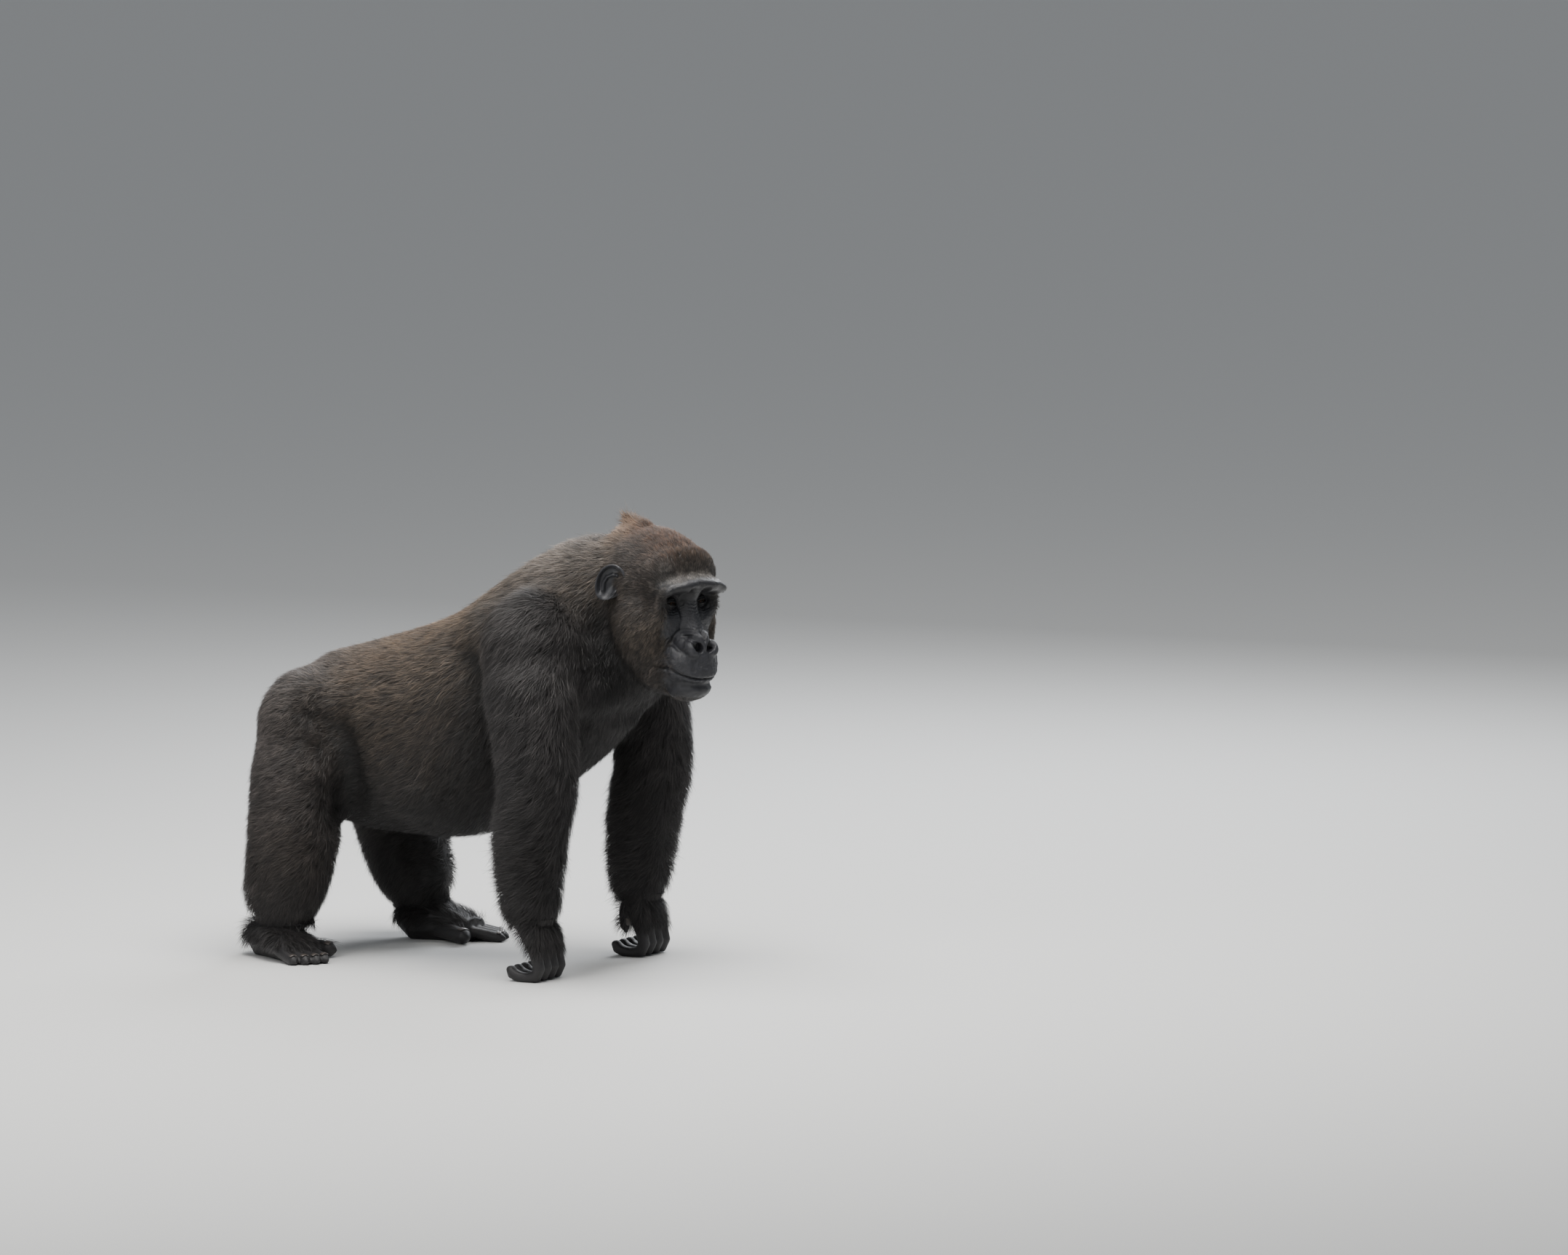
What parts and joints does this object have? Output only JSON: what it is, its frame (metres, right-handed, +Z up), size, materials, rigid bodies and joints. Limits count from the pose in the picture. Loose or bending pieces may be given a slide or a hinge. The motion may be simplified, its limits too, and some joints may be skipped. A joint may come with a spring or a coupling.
{
  "type": "gorilla model",
  "caption": "Life-size adult female western gorilla standing on all fours, knuckles and soles on the floor, head turned to her right.",
  "frame": {"origin": "bottom centre of the model's box, on the floor she stands on", "axes": "+X the way her body faces, +Y her left side, +Z up"},
  "size_m": [0.9868, 0.5808, 0.8899],
  "materials": {
    "black_coat": "dense near-black hair, dry",
    "grey_coat": "dense grey-brown hair, dry",
    "chestnut_coat": "short rusty brown hair over black skin",
    "bare_skin": "black leathery skin, satin",
    "eye": "wet glossy dark brown",
    "nail": "dark horn, satin"
  },
  "bodies": {
    "root": {"head": "chestnut_coat", "jaw": "bare_skin", "neck": "black_coat", "chest": "black_coat", "abdomen": "grey_coat", "pelvis": "grey_coat", "upper_arm_right": "black_coat", "forearm_right": "black_coat", "hand_right": "black_coat", "thigh_right": "grey_coat", "shank_right": "black_coat", "foot_right": "bare_skin", "ear_right": "bare_skin", "eye_right": "eye", "index_finger_right": "bare_skin", "middle_finger_right": "bare_skin", "ring_finger_right": "bare_skin", "little_finger_right": "bare_skin", "thumb_right": "bare_skin", "great_toe_right": "bare_skin", "toe_2_right": "bare_skin", "toe_3_right": "bare_skin", "toe_4_right": "bare_skin", "toe_5_right": "bare_skin", "nail_thumb_right": "nail", "nail_great_toe_right": "nail", "nail_toe_2_right": "nail", "nail_toe_3_right": "nail", "nail_toe_4_right": "nail", "nail_toe_5_right": "nail", "upper_arm_left": "black_coat", "forearm_left": "black_coat", "hand_left": "black_coat", "thigh_left": "grey_coat", "shank_left": "black_coat", "foot_left": "bare_skin", "ear_left": "bare_skin", "eye_left": "eye", "index_finger_left": "bare_skin", "middle_finger_left": "bare_skin", "ring_finger_left": "bare_skin", "little_finger_left": "bare_skin", "thumb_left": "bare_skin", "great_toe_left": "bare_skin", "toe_2_left": "bare_skin", "toe_3_left": "bare_skin", "toe_4_left": "bare_skin", "toe_5_left": "bare_skin", "nail_thumb_left": "nail", "nail_great_toe_left": "nail", "nail_toe_2_left": "nail", "nail_toe_3_left": "nail", "nail_toe_4_left": "nail", "nail_toe_5_left": "nail"}
  },
  "joints": []
}
